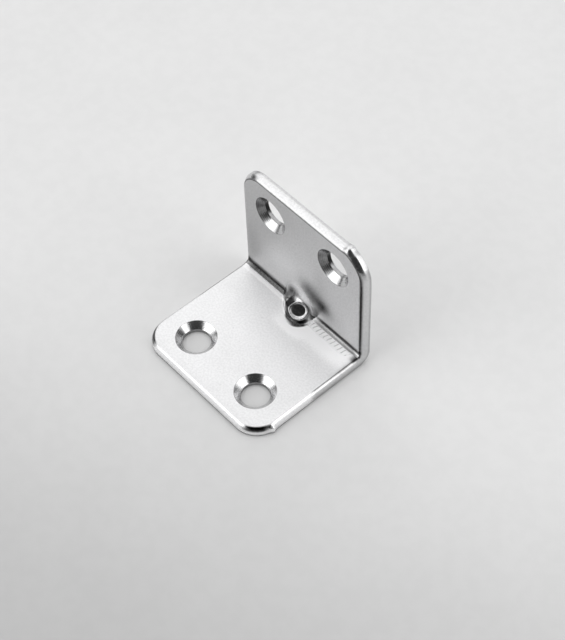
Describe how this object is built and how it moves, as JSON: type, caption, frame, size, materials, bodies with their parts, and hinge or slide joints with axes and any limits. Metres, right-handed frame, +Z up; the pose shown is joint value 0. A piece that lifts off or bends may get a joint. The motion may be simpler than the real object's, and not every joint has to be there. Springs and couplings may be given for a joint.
{
  "type": "corner brace bracket",
  "caption": "Right-angle corner brace folded from plated sheet steel, with countersunk screw holes in both legs and a stiffening rib pressed into the fold.",
  "frame": {"origin": "centre of the base leg's footprint, on its outer face", "axes": "+X along the fold, -Y from the fold to the base leg's free edge, +Z up the upright leg"},
  "size_m": [0.032, 0.028, 0.028],
  "materials": {
    "plated_steel": "bright zinc plating, satin on the faces and shiny where it was bent or cut"
  },
  "bodies": {
    "root": {"bracket": "plated_steel"}
  },
  "joints": []
}
